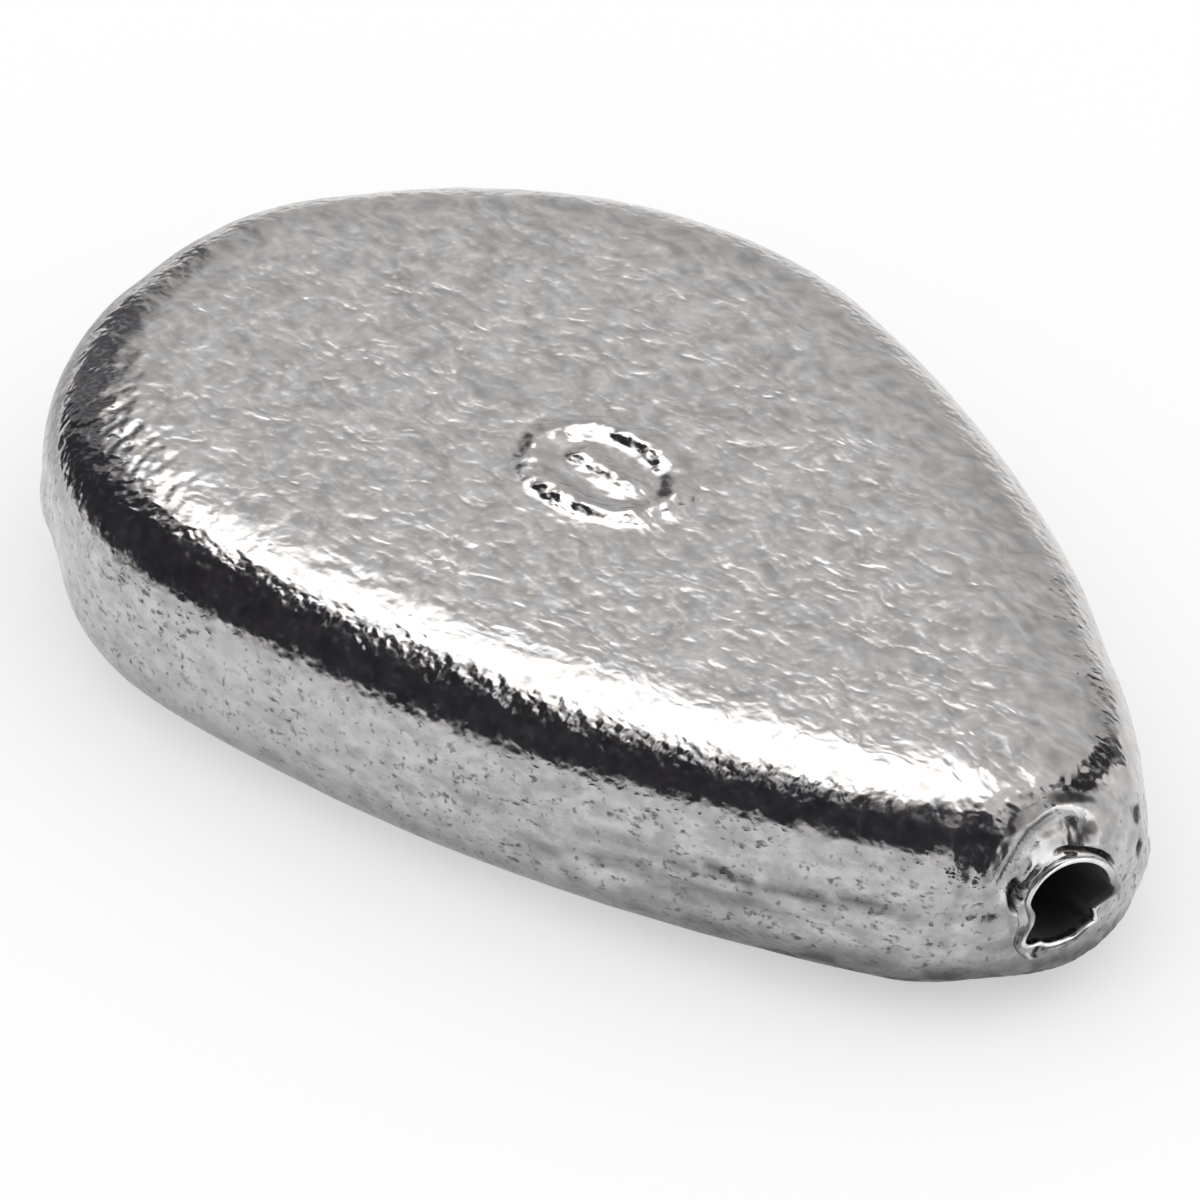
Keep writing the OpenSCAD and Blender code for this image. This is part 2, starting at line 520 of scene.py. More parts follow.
# Wear: the share of its height that is left, how much that varies and over what size, and its limits
MARK_LEFT, MARK_VARIES, MARK_WEAR_SIZE, MARK_LIMITS = 0.75, 0.45, 1.1, (0.55, 0.9)
MARK_CREASE_H, MARK_CREASE_SIZE = 0.04, 0.4


def raised_mark(p):
    """How high on the mark each point lies, from 0 to 1."""
    x, y = p[:, 0] - MARK_X, p[:, 1]
    ring_l, ring_w = (MARK_L - MARK_BEAD_W) / 2, (MARK_W - MARK_BEAD_W) / 2
    around = np.arctan2(y / ring_w, x / ring_l)
    off_ring = np.hypot(x - ring_l * np.cos(around), y - ring_w * np.sin(around))
    reach = (MARK_BAR_L - MARK_BAR_W) / 2
    off_bar = np.hypot(np.maximum(np.abs(x) - reach, 0), y)
    bead = 1 - smooth(0, 1, off_ring / MARK_BEAD_W)
    bar = 1 - smooth(0, 1, off_bar / MARK_BAR_W)
    return np.where(on_top(p), np.maximum(bead, bar), 0.0)


def mark_relief(p):
    raised = raised_mark(p)
    left = np.clip(MARK_LEFT + MARK_VARIES * wrinkles(p, MARK_WEAR_SIZE, seed=5.5), *MARK_LIMITS)
    creases = MARK_CREASE_H * wrinkles(p, MARK_CREASE_SIZE, seed=3.3) * smooth(0, 0.3, raised)
    return MARK_H * left * raised + creases


# Parting line round the side at half the thickness: thickness, the share of its height that wear has left, the
# length of its broken pieces, and the values of noise between which they begin
FLASH_T, FLASH_LEFT = 0.3, 0.6
FLASH_PIECES, FLASH_COMES = 2.5, (-0.1, 0.7)
# The cut-off gate, and the shares of its radius over which it falls off
GATE_ANGLE = math.radians(-120)
GATE_D, GATE_H = 2.3, 0.2
GATE_CREST, GATE_FOOT = 0.3, 1.3


def side_relief(p):
    """Height of the worn parting line and of the gate."""
    off = np.abs(p[:, 2] - HALF_T)
    broken = smooth(*FLASH_COMES, wrinkles(p, FLASH_PIECES, seed=7.1))
    line = FLASH_H * FLASH_LEFT * broken * bump(0, FLASH_T / 2 + VOXEL / 2, off)
    gate_at = np.array([
        belly_c[0] + belly_r * math.cos(GATE_ANGLE),
        -belly_c[1] + belly_r * math.sin(GATE_ANGLE),
        HALF_T,
    ])
    off_gate = np.linalg.norm(p - gate_at, axis=1)
    gate = GATE_H * (1 - smooth(GATE_CREST * GATE_D / 2, GATE_FOOT * GATE_D / 2, off_gate))
    return np.maximum(line, gate)


# Knocks and swellings of the casting: x, y, z, reach and height along the normal
KNOCKS = (
    (-15.0, -13.4, 2.6, 3.4, -0.24),
    (-9.5, -14.8, 1.4, 3.5, 0.10),
    (-22.3, -4.0, 7.0, 2.2, -0.08),
    (-22.8, 2.2, 7.0, 3.0, 0.10),
    (15.0, 8.8, 5.8, 3.5, -0.10),
    (21.7, 5.0, 5.7, 1.8, -0.08),
    (22.5, 4.0, 3.0, 1.8, 0.12),
    (22.5, -2.4, 0.8, 3.2, -0.26),
)


def knocks(p):
    height = np.zeros(len(p))
    for x, y, z, reach, out in KNOCKS:
        height += out * bump(0, reach, np.linalg.norm(p - (x, y, z), axis=1))
    return height


# Flow folds along the side, where the metal met itself: height, size and stretch, their band of z, their
# strength at the rear, how much more it is at the tip, and where it rises along x
FOLD_H = 0.2
FOLD_SIZE, FOLD_STRETCH = 1.0, (4.5, 2.6, 1)
FOLD_Z, FOLD_REACH = 3.1, 2.5
FOLD_AT_REAR, FOLD_MORE, FOLD_RISES = 0.25, 0.75, (0, 10)


def folds(p):
    """The folds along the side, from about -1 to 1."""
    share = (FOLD_AT_REAR + FOLD_MORE * smooth(*FOLD_RISES, p[:, 0])) * bump(FOLD_Z, FOLD_REACH, p[:, 2])
    return share * wrinkles(p, FOLD_SIZE, FOLD_STRETCH, seed=6.3)


# Seam near the tip, where the halves of the mould didn't quite meet: the upper half steps in above a wavy line.
# Depth, height over the middle plane, height and size of its waves, where it begins, where it weakens and how much
SEAM_STEP = 0.15
SEAM_UP, SEAM_WAVES, SEAM_WAVE_SIZE = 0.3, 0.45, 1.9
SEAM_BEGINS = (9, 17)
SEAM_WEAKENS, SEAM_LOST = (20.5, 22.5), 0.6
# Its strength on the whole, how much that varies and over what size
SEAM_STRENGTH, SEAM_VARIES, SEAM_VARY_SIZE = 0.8, 0.4, 1.1
# Heights above the seam over which the casting steps in, and comes out again
SEAM_IN, SEAM_OUT = (-0.12, 0.12), (1.2, 3.2)
# Painted shade in its corner: height, half width, the values of noise between which it begins, size and stretch
SEAM_SHADE_UP, SEAM_SHADE_W, SEAM_SHADE_COMES = 0.08, 0.36, (-0.9, -0.1)
SEAM_SHADE_SIZE, SEAM_SHADE_STRETCH = 0.5, (2, 1, 1)


def above_seam(p):
    """Height above the seam, and how strong the seam is there."""
    x = p[:, 0]
    along_x = np.column_stack([x, 0 * x, 0 * x])
    line = HALF_T + SEAM_UP + SEAM_WAVES * wrinkles(along_x, SEAM_WAVE_SIZE, seed=5.2)
    strength = smooth(*SEAM_BEGINS, x) * (1 - SEAM_LOST * smooth(*SEAM_WEAKENS, x)) * (p[:, 1] < 0)
    strength = strength * (SEAM_STRENGTH + SEAM_VARIES * wrinkles(along_x, SEAM_VARY_SIZE, seed=7.7))
    return p[:, 2] - line, np.clip(strength, 0, 1)


def seam(p):
    up, strength = above_seam(p)
    return -SEAM_STEP * strength * window(SEAM_IN, SEAM_OUT, up)


def seam_shadow(p):
    """Painted shade in the corner of the seam."""
    up, strength = above_seam(p)
    broken = smooth(*SEAM_SHADE_COMES, wrinkles(p, SEAM_SHADE_SIZE, SEAM_SHADE_STRETCH, seed=4.9))
    return strength * bump(SEAM_SHADE_UP, SEAM_SHADE_W, up) * broken


# Waves and wrinkles of the whole skin: height, size, stretch and seed
SKIN = ((0.018, 4.5, (1, 1, 1), 1.3), (0.012, 1.9, (1, 1, 1), 2.9), (0.006, 0.8, (1.6, 1, 1), 4.7))
# Lumps along the rear top edge: middle in x and y, reach in both, where they fade in it, height, size and stretch
LUMPS_AT, LUMPS_REACH, LUMPS_FADE = (-13.0, -11.5), (7.5, 4.6), (0.4, 1)
LUMP_H = 0.038
LUMP_SIZE, LUMP_STRETCH = 0.33, (1.0, 1.9, 1)
# Cosine and sine of the slant that they lie at
LUMP_SLANT = (0.94, 0.34)
# How far in from the outline the strip of lumps lies, and its half width
LUMPS_INSET, LUMPS_W = 3.0, 1.9
# Rougher skin round the rear top edge: height, size, where it begins, how far in it lies and its half width
REAR_SKIN_H, REAR_SKIN_SIZE = 0.035, 0.62
REAR_SKIN_X = (-6, -14)
REAR_SKIN_INSET, REAR_SKIN_W = 2.0, 2.2
# Rougher skin on the tip: height, size and stretch, and the distances from the tip over which it begins
TIP_SKIN_H = 0.03
TIP_SKIN_SIZE, TIP_SKIN_STRETCH = 0.32, (1, 1, 1.6)
TIP_SKIN_FROM, TIP_SKIN_FULL = 3.5, 2


def lumpy(p):
    """Distance from the middle of the lumps, where 1 is their reach."""
    return np.hypot((p[:, 0] - LUMPS_AT[0]) / LUMPS_REACH[0], (p[:, 1] - LUMPS_AT[1]) / LUMPS_REACH[1])


def rear_relief(p):
    """Lumps and rougher skin of the rear top edge."""
    x, y = p[:, 0], p[:, 1]
    inset, _ = inset_and_outward(p)
    strip = bump(LUMPS_INSET, LUMPS_W, inset) * on_top(p) * (1 - smooth(*LUMPS_FADE, lumpy(p)))
    c, s = LUMP_SLANT
    slanted = np.column_stack([c * x + s * y, c * y - s * x, p[:, 2]])
    lumps = LUMP_H * strip * wrinkles(slanted, LUMP_SIZE, LUMP_STRETCH, seed=9.2)
    ring = smooth(*REAR_SKIN_X, x) * on_top(p) * bump(REAR_SKIN_INSET, REAR_SKIN_W, inset)
    return lumps + REAR_SKIN_H * ring * wrinkles(p, REAR_SKIN_SIZE, seed=6.1)


def tip_relief(p):
    begins = smooth(HALF_L - TIP_SKIN_FROM, HALF_L - TIP_SKIN_FULL, p[:, 0])
    return TIP_SKIN_H * begins * wrinkles(p, TIP_SKIN_SIZE, TIP_SKIN_STRETCH, seed=3.9)


def cast_relief(p):
    """Height of the cast skin, in millimetres along the normal."""
    skin = sum(height * wrinkles(p, size, stretch, seed) for height, size, stretch, seed in SKIN)
    return skin + rear_relief(p) + tip_relief(p) + STREAK_H * streaks(p) + FOLD_H * folds(p) + seam(p)


# Parts of the casting that get a finer mesh
def by_lumps(p):
    return (lumpy(p) < 0.95) & (p[:, 2] > 5.5) & (inset_and_outward(p)[0] < 4.7)


def by_mark(p):
    return (np.hypot(p[:, 0] - MARK_X, p[:, 1] * 1.3) < 4.4) & (p[:, 2] > HALF_T * 1.9)


def by_mouth(p):
    return (around_bore(p)[0] < 4.2) & near_tip(p, 3.5)


def by_rim(p):
    return (around_bore(p)[0] < 2.3) & near_tip(p, 2)


def casting():
    """The casting without its bore, which stays inside the solid's box."""
    mesh = applied(blank(), "REMESH", mode="VOXEL", voxel_size=VOXEL, adaptivity=0.0)
    settled(mesh)
    for near in (by_lumps, by_mark, by_mouth, by_rim):
        refined(mesh, near)
    points, normal = settled(mesh)
    height = cast_relief(points) + knocks(points) + side_relief(points) + mark_relief(points)
    moved = points + normal * height[:, None]
    moved[:, 0] -= CREASE_DEPTH * crease(points) + pits(points)
    moved[:, 0] = np.clip(moved[:, 0], -HALF_L, HALF_L)
    moved[:, 1] = np.clip(moved[:, 1], body_low.y, body_high.y)
    moved[:, 2] = np.clip(moved[:, 2], body_low.z, body_high.z)
    set_positions(mesh, moved)
    return mesh


def bored(mesh):
    """The casting with the tube's hole cut out."""
    cutter = linked("cutter", bore_cutter())
    result = applied(mesh, "BOOLEAN", operation="DIFFERENCE", solver="MANIFOLD", object=cutter)
    bpy.data.objects.remove(cutter)
    return result


# Painted shade, on duller metal, in hollows and pits of the tip face: angle round the bore, distance from its axis,
# reach of both, share
SHADE_SPOTS = (
    (155, 2.2, 18, 0.4, 1.0),
    (128, 3.4, 34, 0.28, 0.45),
    (75, 3.36, 17, 0.17, 0.9),
    (66, 2.62, 9, 0.3, 0.8),
    (25, 3.8, 7, 0.36, 1.0),
    (7, 3.45, 7, 0.34, 1.0),
)
# The shares of that reach over which the painted shade spots end, and how ragged their edges are and over what size
SHADE_SPOT_EDGE = (0.55, 1)
SHADE_SPOT_RAGGED, RAGGED_SIZE = 0.25, 0.3
# Darkness of the painted shade in the creases, in streak and fold hollows, in the seam's corner and in the bore
CREASE_SHADE, STREAK_SHADE, FOLD_SHADE, SEAM_SHADE, BORE_SHADE = 0.9, 0.4, 0.4, 0.85, 0.9
# Depths of streaks and folds, as shares of their height, over which painted shade comes into their hollows
STREAK_HOLLOWS, FOLD_HOLLOWS = (0, 0.35), (0.12, 0.4)
# Painted shade towards the bottom: the heights between which it begins, its darkness everywhere, and how much
# darker and how much more mottled it is near the tip
LOW_SHADE_Z = (3.1, 1.2)
LOW_SHADE, LOW_SHADE_AT_TIP, LOW_SHADE_MOTTLED = 0.36, 0.36, 0.35
LOW_SHADE_TIP_X = (8, 20)
MOTTLE_SIZE, MOTTLE_STRETCH, MOTTLE_EDGE = 0.8, (2, 1.4, 1), (-0.25, 0.25)
# Where shade is painted on the tube's rim, dimming it: angle round the bore, reach and share
RIM_SHADE = ((0, 42, 0.75), (180, 34, 0.6), (-70, 12, 0.5))
# How far behind the rim and from the rear end the tube's inside has no painted shade, and how near the inside a
# point must lie to get it
UNSHADED_AT_RIM, UNSHADED_AT_REAR, SHADE_REACH = 0.35, 0.3, 0.05


def painted_shade_lead(p):
    """How much painted shade each point of the casting gets, from 0 to 1."""
    rho, angle = around_bore(p)
    # Painted shade in the creases round the rim
    dark = CREASE_SHADE * crease(p)
    ragged = SHADE_SPOT_RAGGED * wrinkles(p, RAGGED_SIZE, seed=2.2)
    # Painted shade spots in the hollows and pits of the tip face
    for at, r, spread, reach, share in SHADE_SPOTS:
        off = np.hypot(turned(angle, at) / spread, (rho - r) / reach) + ragged
        dark = np.maximum(dark, share * near_tip(p, FACE_ZONE) * (1 - smooth(*SHADE_SPOT_EDGE, off)))
    # Painted shade towards the bottom, darker and mottled near the tip
    mottled = smooth(*MOTTLE_EDGE, wrinkles(p, MOTTLE_SIZE, MOTTLE_STRETCH, seed=8.8))
    at_tip = (LOW_SHADE_AT_TIP + LOW_SHADE_MOTTLED * mottled) * smooth(*LOW_SHADE_TIP_X, p[:, 0])
    # Painted shade in the hollows of streaks and folds, towards the bottom and in the seam's corner
    others = (
        STREAK_SHADE * smooth(*STREAK_HOLLOWS, -streaks(p)),
        FOLD_SHADE * smooth(*FOLD_HOLLOWS, -folds(p)),
        smooth(*LOW_SHADE_Z, p[:, 2]) * (LOW_SHADE + at_tip),
        SEAM_SHADE * seam_shadow(p),
    )
    for other in others:
        dark = np.maximum(dark, other)
    return np.clip(dark, 0, 1)


def painted_shade_tube(p):
    """How much painted shade each point of the tube gets, from 0 to 1."""
    rho, angle = around_bore(p)
    dark = np.zeros(len(p))
    for at, spread, share in RIM_SHADE:
        dark = np.maximum(dark, share * bump(0, spread, turned(angle, at)))
    # Shade is painted in the bore from just inside either end
    depth = rim_x(angle) - p[:, 0]
    inside = rho < mouth_radius(angle, pinch_share(depth)) + SHADE_REACH
    inside = inside * (depth > UNSHADED_AT_RIM) * (p[:, 0] > UNSHADED_AT_REAR - HALF_L)
    return np.maximum(dark, BORE_SHADE * inside)


SHARP_ANGLE = 50


def piece(name, mesh, node, material, shares):
    """Stands the mesh in the scene, with its painted shade written on its points, in metres, in the place of the
    CAD node.
    """
    write_values(mesh, "painted_shade", shares(positions(mesh)))
    mesh.name = name
    set_positions(mesh, positions(mesh) * METRES)
    mesh.materials.clear()
    mesh.materials.append(material)
    mesh.polygons.foreach_set("material_index", [0] * len(mesh.polygons))
    mesh.shade_smooth()
    mesh.set_sharp_from_angle(angle=math.radians(SHARP_ANGLE))
    made = linked(name, mesh)
    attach(made, "root")
    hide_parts(node)


class Nodes:
    """Adds and links shader nodes of one tree."""

    def __init__(self, owner):
        owner.use_nodes = True
        self.tree = owner.node_tree
        self.tree.nodes.clear()

    def add(self, kind, **values):
        """A node with its properties and inputs set by name."""
        node = self.tree.nodes.new("ShaderNode" + kind)
        for key, value in values.items():
            if hasattr(node, key) and key not in node.inputs:
                setattr(node, key, value)
            else:
                self.give(node.inputs[key.replace("_", " ")], value)
        return node

    def give(self, socket, value):
        if isinstance(value, bpy.types.NodeSocket):
            self.tree.links.new(value, socket)
        else:
            socket.default_value = value

    def fill(self, node, *values):
        """Gives the node's first inputs these values, and gives back its first output."""
        for socket, value in zip(node.inputs, values):
            self.give(socket, value)
        return node.outputs[0]

    def maths(self, operation, a, b=0.0, clamp=False):
        return self.fill(self.add("Math", operation=operation, use_clamp=clamp), a, b)

    def plus(self, a, b):
        return self.maths("ADD", a, b)

    def times(self, a, b, clamp=False):
        return self.maths("MULTIPLY", a, b, clamp)

    def vector(self, operation, a, b):
        return self.fill(self.add("VectorMath", operation=operation), a, b)

    def scaled(self, vector, by):
        return self.add("VectorMath", operation="SCALE", Vector=vector, Scale=by).outputs[0]

    def length(self, vector):
        return self.add("VectorMath", operation="LENGTH", Vector=vector).outputs["Value"]

    def axis(self, vector, name):
        return self.add("SeparateXYZ", Vector=vector).outputs[name]

    def geometry(self, name):
        return self.add("NewGeometry").outputs[name]

    def attribute(self, name):
        return self.add("Attribute", attribute_name=name).outputs["Fac"]

    def place(self):
        """The place on the object in millimetres."""
        return self.scaled(self.add("TexCoord").outputs["Object"], MM_PER_METRE)

    def ramp(self, value, low, high, to_low=0.0, to_high=1.0, kind="SMOOTHSTEP"):
        node = self.add("MapRange", interpolation_type=kind)
        return self.fill(node, value, low, high, to_low, to_high)

    def noise(self, place, scale, detail, roughness=0.5, distortion=0.0, output="Fac"):
        """Noise with so many features in a millimetre."""
        values = {"Scale": scale, "Detail": detail, "Roughness": roughness, "Distortion": distortion}
        return self.add("TexNoise", Vector=place, **values).outputs[output]

    def mix(self, share, a, b):
        node = self.add("Mix", data_type="RGBA")
        for socket, value in zip((node.inputs["Factor"], node.inputs[6], node.inputs[7]), (share, a, b)):
            self.give(socket, value)
        return node.outputs[2]

    def bump(self, height, distance, normal=None):
        node = self.add("Bump", Strength=1.0, Distance=distance, Height=height)
        if normal is not None:
            self.give(node.inputs["Normal"], normal)
        return node.outputs[0]

    def finish_metal(self, colour, rough, normal):
        shader = self.add("BsdfPrincipled", Metallic=1.0, Base_Color=colour, Roughness=rough, Normal=normal)
        self.add("OutputMaterial", Surface=shader.outputs[0])


def new_material(name):
    """A material without nodes, and what adds them."""
    material = bpy.data.materials.new(name)
    return material, Nodes(material)


# Colours, as written on the metal
COOL_LEAD = (0.437, 0.434, 0.44, 1)
WARM_LEAD = (0.463, 0.441, 0.425, 1)
# The steep side, painted lighter and cooler than the flat faces
SIDE_PAINTED_LIGHTER = (0.466, 0.466, 0.473, 1)
# Dark of the pits in the lead, and of the painted shade on the tube
PIT_AND_SHADE_DARK = (0.125, 0.118, 0.112, 1)
# Painted shade of the lead's hollows, creases, seam and bottom
SHADE_PAINT = (0.045, 0.043, 0.043, 1)
TUBE_METAL = (0.74, 0.74, 0.74, 1)
SCUFFED_METAL = (0.62, 0.62, 0.63, 1)

# Noises of the lead: features in a millimetre, detail, roughness and distortion
DRIFT = (0.4, 1.0)
GRAIN = (2.0, 1.2, 0.5, 0.2)
FINE_GRAIN = (3.1, 0.7, 0.4)
SOFT_WAVES = (0.9, 1.0, 0.5)
PATCHES = (0.8, 2.0, 0.6)
SHADES = (1.1, 2.0, 0.6)
DULL_SPOTS = (3.0, 2.0, 0.6)
CLUSTERS = (0.45, 2.0, 0.6)
SPECKS = (3.9, 2.0, 0.55)
DOTS = (3.6, 1.0, 0.5)
SMUDGES = (1.3, 4.0, 0.65)
SCUFFS = (3.0, 2.0)
# The values of noise between which each begins to show and shows in full, and between which nearly all lie
CLUSTERS_SHOW, SPECKS_SHOW, DOTS_SHOW, SMUDGES_SHOW = (0.42, 0.6), (0.53, 0.74), (0.6, 0.76), (0.48, 0.7)
PATCHES_SHOW, DULL_SPOTS_SHOW, SCUFFS_SHOW = (0.35, 0.55), (0.45, 0.7), (0.4, 0.7)
NEARLY_ALL = (0.3, 0.7)
# Where specks and smudges get denser along x, and by how much noise
DENSER_X, DENSER_BY = (-8.0, 12.0), 0.07
# How much darker or lighter single grains are, and whole areas, and the share of it on the side
GRAIN_SHADE, AREA_SHADE, SIDE_SHADE = 0.2, 0.12, 0.5
# Shares of the fine grain on the flat face and at the tip, and where the tip begins along x
FLAT_GRAIN, TIP_GRAIN, TIP_GRAIN_X = 0.15, 0.3, (17.0, 20.5)
# How far the grain drifts in millimetres, and how grain and specks are drawn out along the body
DRIFT_BY = (1.5, 1.5, 1.5)
GRAIN_DRAWN = (0.55, 1.0, 1.0)
SPECKS_DRAWN = (0.5, 0.7, 1.0)
# Bumps in metres
SOFT_BUMP, GRAIN_BUMP, FINE_BUMP, PIT_BUMP, SCUFF_BUMP = 3.0e-5, 3.5e-5, 4.4e-5, -2.0e-5, 1.0e-5
# How flat the surface lies, where 1 is level: the values between which the side begins, and the shoulder
SIDE_FROM, SHOULDER_FROM = (0.25, 0.7), (0.93, 0.995)
# Roughness between shiny and dull spots of either metal, and what is added where shade is painted
LEAD_ROUGH, TUBE_ROUGH = (0.11, 0.26), (0.16, 0.28)
LEAD_SHADE_ROUGH, TUBE_SHADE_ROUGH = 0.25, 0.5
# Depth of dots and smudges beside that of specks
DOT_DEPTH, SMUDGE_DEPTH = 0.7, 0.34


def side_pits(n, mm, on_side):
    """Pits and smudges on the side, in streaks along the body and denser towards the tip."""
    lengthwise = n.vector("MULTIPLY", mm, SPECKS_DRAWN)
    denser = n.ramp(n.axis(mm, "X"), *DENSER_X, 0.0, DENSER_BY)
    clusters = n.ramp(n.plus(n.noise(lengthwise, *CLUSTERS), denser), *CLUSTERS_SHOW)
    specks = n.ramp(n.noise(lengthwise, *SPECKS), *SPECKS_SHOW)
    dots = n.ramp(n.noise(mm, *DOTS), *DOTS_SHOW)
    smudges = n.ramp(n.plus(n.noise(lengthwise, *SMUDGES), denser), *SMUDGES_SHOW)
    pit = n.plus(n.times(specks, clusters), n.times(dots, DOT_DEPTH))
    pit = n.maths("MAXIMUM", pit, n.times(smudges, SMUDGE_DEPTH))
    return n.times(pit, on_side, clamp=True)


def lead_colour(n, mm, drifted, grain, on_side):
    """The lead's colour without the painted shade. The steep side is painted lighter and cooler. The skin's shade
    changes from grain to grain.
    """
    colour = n.mix(n.ramp(n.noise(drifted, *PATCHES), *PATCHES_SHOW), COOL_LEAD, WARM_LEAD)
    # The steep side is painted lighter and cooler
    colour = n.mix(on_side, colour, SIDE_PAINTED_LIGHTER)
    by_grain = n.ramp(grain, *NEARLY_ALL, -GRAIN_SHADE, GRAIN_SHADE, "LINEAR")
    by_area = n.ramp(n.noise(mm, *SHADES), *NEARLY_ALL, -AREA_SHADE, AREA_SHADE, "LINEAR")
    shade = n.plus(by_grain, by_area)
    shade = n.times(shade, n.ramp(on_side, 0.0, 1.0, 1.0, SIDE_SHADE, "LINEAR"))
    return n.scaled(colour, n.plus(1.0, shade))


def lead_normal(n, mm, drifted, grain, on_shoulder, pit):
    """Bumps of the skin. The fine grain is strongest on the shoulder, and weaker near the tip."""
    on_flat = n.ramp(on_shoulder, 0.0, 1.0, FLAT_GRAIN, 1.0, "LINEAR")
    fine_share = n.times(on_flat, n.ramp(n.axis(mm, "X"), *TIP_GRAIN_X, 1.0, TIP_GRAIN))
    fine = n.times(n.noise(mm, *FINE_GRAIN), fine_share)
    normal = n.bump(n.noise(drifted, *SOFT_WAVES), SOFT_BUMP)
    for height, distance in ((grain, GRAIN_BUMP), (fine, FINE_BUMP), (pit, PIT_BUMP)):
        normal = n.bump(height, distance, normal)
    return normal


def lead_material():
    material, n = new_material("cast_lead")
    mm = n.place()
    flatness = n.maths("ABSOLUTE", n.axis(n.geometry("Normal"), "Z"))
    on_side = n.ramp(flatness, *SIDE_FROM, 1.0, 0.0)
    off_flat = n.ramp(flatness, *SHOULDER_FROM, 1.0, 0.0)
    on_shoulder = n.times(off_flat, n.maths("SUBTRACT", 1.0, on_side))
    drift = n.noise(mm, *DRIFT, output="Color")
    drifted = n.vector("ADD", mm, n.vector("MULTIPLY", drift, DRIFT_BY))
    grain = n.noise(n.vector("MULTIPLY", drifted, GRAIN_DRAWN), *GRAIN)
    pit = side_pits(n, mm, on_side)
    shade_share = n.attribute("painted_shade")

    colour = n.mix(pit, lead_colour(n, mm, drifted, grain, on_side), PIT_AND_SHADE_DARK)
    # Painted shade in hollows, creases, the seam and towards the bottom
    colour = n.mix(shade_share, colour, SHADE_PAINT)
    dull = n.ramp(n.noise(mm, *DULL_SPOTS), *DULL_SPOTS_SHOW)
    rough = n.ramp(dull, 0.0, 1.0, *LEAD_ROUGH, "LINEAR")
    rough = n.plus(rough, n.times(shade_share, LEAD_SHADE_ROUGH))
    n.finish_metal(colour, rough, lead_normal(n, mm, drifted, grain, on_shoulder, pit))
    return material


def tube_material():
    material, n = new_material("tube_metal")
    scuff = n.noise(n.place(), *SCUFFS)
    shade_share = n.attribute("painted_shade")
    colour = n.mix(n.ramp(scuff, *SCUFFS_SHOW), TUBE_METAL, SCUFFED_METAL)
    # Painted shade darkens the rim at its sides and the bore
    colour = n.mix(shade_share, colour, PIT_AND_SHADE_DARK)
    rough = n.ramp(scuff, *NEARLY_ALL, *TUBE_ROUGH, "LINEAR")
    rough = n.plus(rough, n.times(shade_share, TUBE_SHADE_ROUGH))
    n.finish_metal(colour, rough, n.bump(scuff, SCUFF_BUMP))
    return material


# Camera: the photograph's viewing angle, its distance in body lengths, and where the middle of the body lies
VIEW_AZIMUTH, VIEW_ELEVATION = math.radians(-37.16), math.radians(33.19)
VIEW_DISTANCE = 8 * 2 * HALF_L * METRES
PHOTO_SIDE_PX = 1200
MIDDLE_PX = (629.4, 583.6)
FOCAL_PX = 11357
SENSOR_MM = 36.0
CLIP = (0.01, 20)

middle = Vector((0, 0, HALF_T * METRES))
back = Vector((
    math.cos(VIEW_ELEVATION) * math.cos(VIEW_AZIMUTH),
    math.cos(VIEW_ELEVATION) * math.sin(VIEW_AZIMUTH),
    math.sin(VIEW_ELEVATION),
))
right = Vector((-math.sin(VIEW_AZIMUTH), math.cos(VIEW_AZIMUTH), 0))
upright = back.cross(right)


def add_camera():
    camera = linked("camera", bpy.data.cameras.new("camera"))
    camera.data.sensor_width = SENSOR_MM
    camera.data.lens = FOCAL_PX / PHOTO_SIDE_PX * SENSOR_MM
    camera.data.clip_start, camera.data.clip_end = CLIP
    camera.location = middle + back * VIEW_DISTANCE
    left_by = (MIDDLE_PX[0] - PHOTO_SIDE_PX / 2) / FOCAL_PX
    down_by = (PHOTO_SIDE_PX / 2 - MIDDLE_PX[1]) / FOCAL_PX
    look = -back - right * left_by - upright * down_by
    camera.rotation_mode = "QUATERNION"
    camera.rotation_quaternion = look.to_track_quat("-Z", "Y")
    bpy.context.scene.camera = camera


def towards(azimuth, elevation):
    """A direction, where azimuth 0 is straight away from the photograph's camera and right is positive."""
    a, e = math.radians(azimuth), math.radians(elevation)
    away = Vector((-back.x, -back.y, 0)).normalized()
    return (away * math.cos(a) + right * math.sin(a)) * math.cos(e) + Vector((0, 0, math.sin(e)))


def soft(low, high, edge, value):
    """1 from low to high and 0 beyond them, with an easy change over the edge's width."""
    return window((low - edge / 2, low + edge / 2), (high - edge / 2, high + edge / 2), value)


# The studio as reflections see it, in azimuth and elevation as towards() takes them.
# Spans are from, to and the width of the soft edge. The plain wall all round has brightness 1
DARK = 0.05
WHITE = 3.0
# The far wall: elevation and brightness, and its spans of azimuth and elevation
FAR_WALL = ((-5, 0.95), (2, 0.8), (9, 0.7), (21, 0.7), (29, 0.86), (60, 0.87))
FAR_WALL_AZIMUTH, FAR_WALL_ELEVATION = (-45, 34, 16), (-30, 46, 10)
# The lamp above the far wall: elevation and azimuth of its left and right end, the elevations over which it
# begins and ends, and the width of its soft ends as a share of its length
LAMP_LEFT = ((36, -25), (60, -25), (70, -32))
LAMP_RIGHT = ((36, 0), (50, 9), (62, 22))
LAMP_FROM, LAMP_TO = (36, 43), (66, 70)
LAMP_SOFT = 0.2
# Pale walls on the right: spans of azimuth and elevation, and the brightness they add
PALE_WALLS = (((99, 150, 10), (-8, 36, 10), 0.8), ((112, 144, 8), (33, 52, 8), 1.3))
